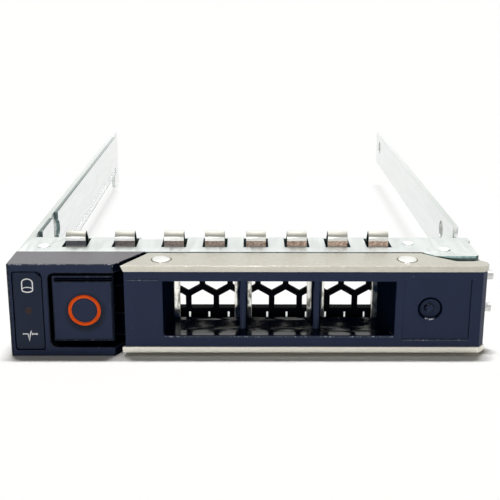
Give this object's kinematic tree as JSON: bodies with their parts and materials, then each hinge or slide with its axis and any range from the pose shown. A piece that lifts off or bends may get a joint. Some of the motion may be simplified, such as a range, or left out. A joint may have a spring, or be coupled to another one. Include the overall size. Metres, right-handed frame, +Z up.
{
  "type": "hot swap drive caddy",
  "caption": "Low, wide server drive caddy: folded steel rails and fingered top plate behind a dark plastic front with a hinged vented handle and a release button.",
  "frame": {"origin": "middle of the width, on the front face, level with the foot of the bezel", "axes": "+X to the right seen from the front, +Y back along the rails, +Z up"},
  "size_m": [0.0735, 0.1125, 0.0168],
  "materials": {
    "zinc_steel": "pale zinc plate, satin",
    "nickel_steel": "warm grey nickel, satin",
    "spring_steel": "bright stainless spring strip",
    "bright_steel": "polished rivet",
    "navy_plastic": "very dark blue, fine grain",
    "black_plastic": "near black, satin",
    "window": "dark blue, smooth, with raised white marks",
    "lamp": "dim amber brown lens",
    "clear_plastic": "clear moulding",
    "orange_plastic": "orange"
  },
  "bodies": {
    "caddy": {"frame": "zinc_steel", "inner_strip": "zinc_steel", "light_pipe": "clear_plastic", "grille": "black_plastic", "finger_strip": "spring_steel", "bezel": "navy_plastic", "window_panel": "window", "lamp_lens": "lamp", "bezel_rivet": "zinc_steel", "strip_rivet": "zinc_steel", "hinge_pin": "zinc_steel", "handle_spring": "spring_steel", "latch_pin": "spring_steel", "latch_spring": "spring_steel"},
    "handle": {"handle_skin": "nickel_steel", "handle_insert": "navy_plastic", "hinge_sleeve": "zinc_steel", "handle_rivets": "bright_steel", "end_pips": "bright_steel"},
    "button": {"release_button": "navy_plastic", "button_ring": "orange_plastic"},
    "latch": {"latch_lever": "black_plastic"}
  },
  "joints": [
    {"name": "handle_hinge", "type": "hinge", "parent": "caddy", "child": "handle", "pos_m": [0.0309, 0.0083, 0.007], "axis": [0, 0, 1], "range_deg": [0, 50]},
    {"name": "button_press", "type": "slide", "parent": "caddy", "child": "button", "axis": [0, 1, 0], "range_m": [0, 0.0012], "stiffness_N_per_m": 400, "springref_m": -0.001},
    {"name": "latch_turn", "type": "hinge", "parent": "caddy", "child": "latch", "pos_m": [-0.0203, 0.0116, 0.0074], "axis": [0, 0, 1], "range_deg": [-13.6, 0]}
  ],
  "couplings": [
    {"joint": "latch_turn", "follows": "button_press", "rad_per_m": -196}
  ]
}
